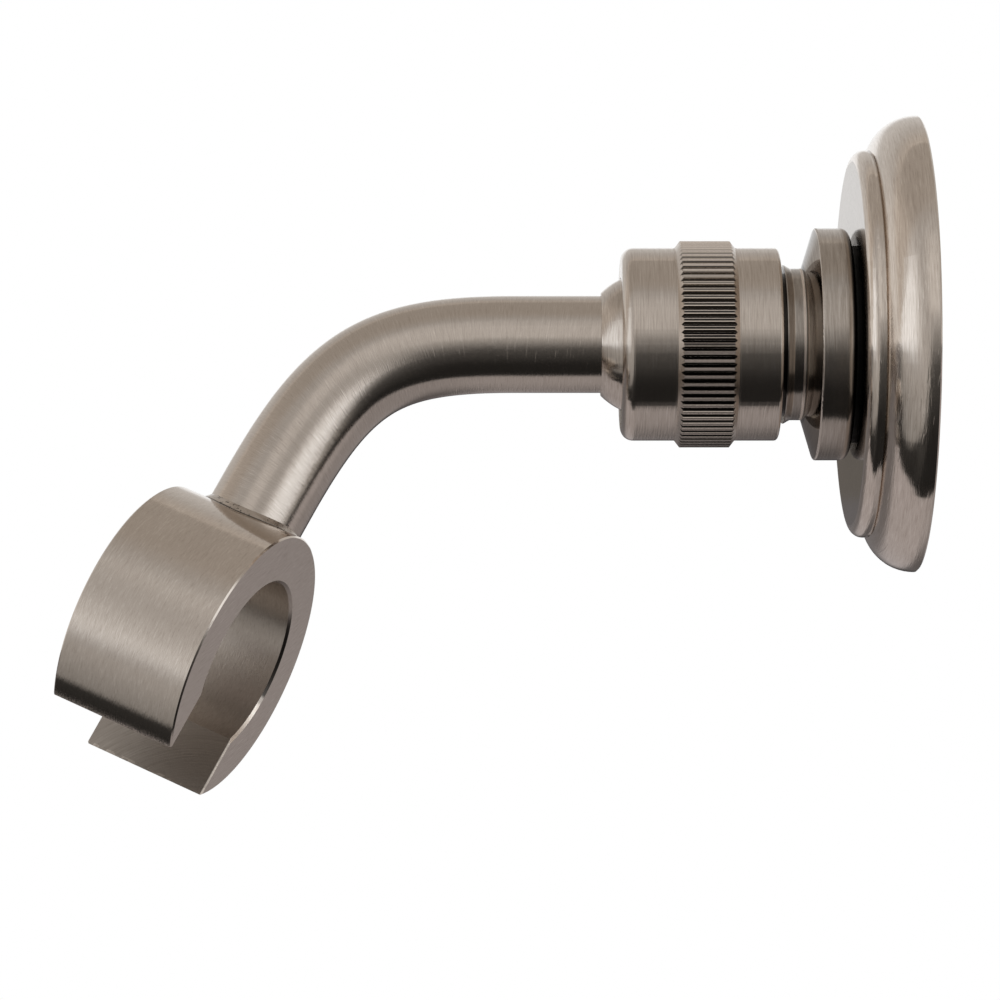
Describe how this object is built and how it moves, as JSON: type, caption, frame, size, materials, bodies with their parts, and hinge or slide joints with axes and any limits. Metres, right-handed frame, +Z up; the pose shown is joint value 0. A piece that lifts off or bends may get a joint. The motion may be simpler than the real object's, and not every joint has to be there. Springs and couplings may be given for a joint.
{
  "type": "hand shower holder",
  "caption": "Wall holder for a hand shower: a round stepped flange, a ball joint under a knurled nut, a bent arm and a thick split ring cradle.",
  "frame": {"origin": "centre of the flange's back face, on the wall", "axes": "+Y into the wall along the fitting's axis, +Z up, the arm hangs in the plane X = 0"},
  "size_m": [0.0602, 0.1107, 0.0894],
  "materials": {
    "satin_nickel": "brass with a brushed satin nickel plating",
    "zinc_steel": "zinc plated steel",
    "black_rubber": "black, matt",
    "white_nylon": "natural nylon, satin"
  },
  "bodies": {
    "bracket": {"wall_plate": "zinc_steel", "wall_flange": "satin_nickel", "flange_gasket": "black_rubber", "wall_post": "satin_nickel"},
    "swivel": {"ball_seat": "white_nylon"},
    "arm": {"swivel_ball": "satin_nickel", "arm_tube": "satin_nickel", "braze_fillet": "satin_nickel", "cradle_ring": "satin_nickel"},
    "nut_carrier": {"seat_ring": "white_nylon"},
    "nut": {"union_nut": "satin_nickel"}
  },
  "joints": [
    {"name": "arm_swivel", "type": "hinge", "parent": "bracket", "child": "swivel", "pos_m": [0, -0.0348, 0], "axis": [0, 1, 0], "continuous": true},
    {"name": "arm_tilt", "type": "hinge", "parent": "swivel", "child": "arm", "pos_m": [0, -0.0348, 0], "axis": [1, 0, 0], "range_deg": [-18, 18]},
    {"name": "nut_travel", "type": "slide", "parent": "bracket", "child": "nut_carrier", "axis": [0, -1, 0], "range_m": [0, 0.00182]},
    {"name": "nut_turn", "type": "hinge", "parent": "nut_carrier", "child": "nut", "pos_m": [0, -0.0285, 0], "axis": [0, -1, 0], "range_deg": [0, 360]}
  ],
  "couplings": [
    {"joint": "nut_travel", "follows": "nut_turn", "m_per_rad": 0.00028871}
  ]
}
